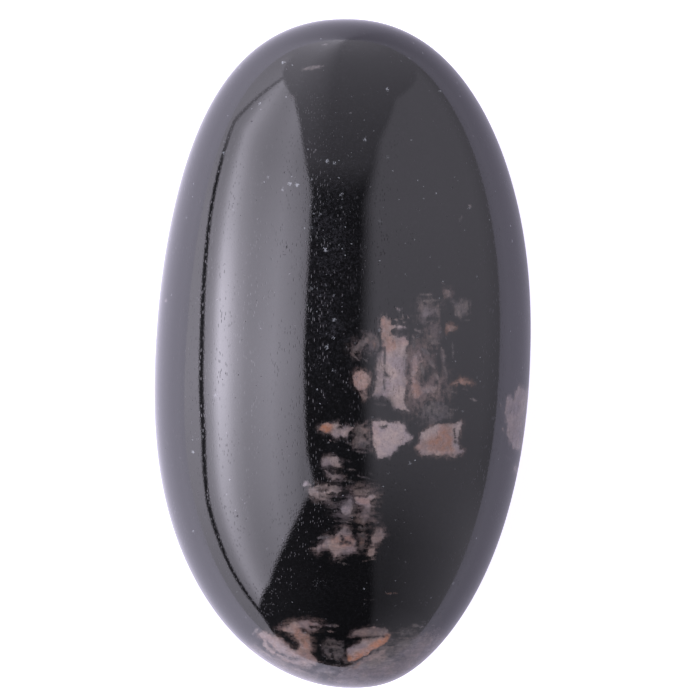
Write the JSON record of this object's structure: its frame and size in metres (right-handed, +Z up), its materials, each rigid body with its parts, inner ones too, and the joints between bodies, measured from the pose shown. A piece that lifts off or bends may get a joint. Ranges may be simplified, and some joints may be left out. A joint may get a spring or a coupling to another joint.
{
  "type": "massage stone",
  "caption": "Smooth elongated pebble of dark polished rock with pale, grey and rust-stained mineral grains flush in its surface; held in the hand or laid on the skin for massage.",
  "frame": {"origin": "centre of the stone's bounding box, on the plane of the small flat that it rests on", "axes": "+Y along the stone's length towards its plain end, +Z up from the resting flat to the broad polished crown, +X to the right seen from above"},
  "size_m": [0.0394, 0.07, 0.026],
  "materials": {
    "stone": "high polish, near black, with fine pits and pale specks",
    "feldspar_pale": "polished pinkish white feldspar with dark hairline cracks",
    "feldspar_grey": "polished greenish grey feldspar veiled by dark rock",
    "feldspar_rust": "polished feldspar stained orange by iron"
  },
  "bodies": {
    "root": {"stone_body": "stone", "heart_grain": "feldspar_pale", "column_grain": "feldspar_pale", "side_grain": "feldspar_pale", "arch_grain": "feldspar_grey", "rust_speck": "feldspar_rust", "crown_fleck": "feldspar_grey", "shoulder_fleck": "feldspar_grey", "upper_fleck": "feldspar_grey", "middle_fleck": "feldspar_pale", "lens_grain": "feldspar_rust", "veil_grain": "feldspar_grey", "band_left_grain": "feldspar_pale", "band_middle_grain": "feldspar_grey", "band_heart_grain": "feldspar_pale", "band_rust_grain": "feldspar_rust", "step_upper_grain": "feldspar_pale", "step_lower_grain": "feldspar_pale", "kink_grain": "feldspar_pale", "ladder_grain": "feldspar_grey", "ladder_side_grain": "feldspar_grey", "star_grain": "feldspar_pale", "star_side_grain": "feldspar_grey", "leaf_grain": "feldspar_pale", "toe_left_grain": "feldspar_pale", "toe_middle_grain": "feldspar_grey", "toe_rust_grain": "feldspar_rust", "toe_fleck": "feldspar_grey", "toe_rim_grain": "feldspar_pale", "toe_corner_grain": "feldspar_pale", "flank_grain": "feldspar_pale", "flank_fleck": "feldspar_pale"}
  },
  "joints": []
}
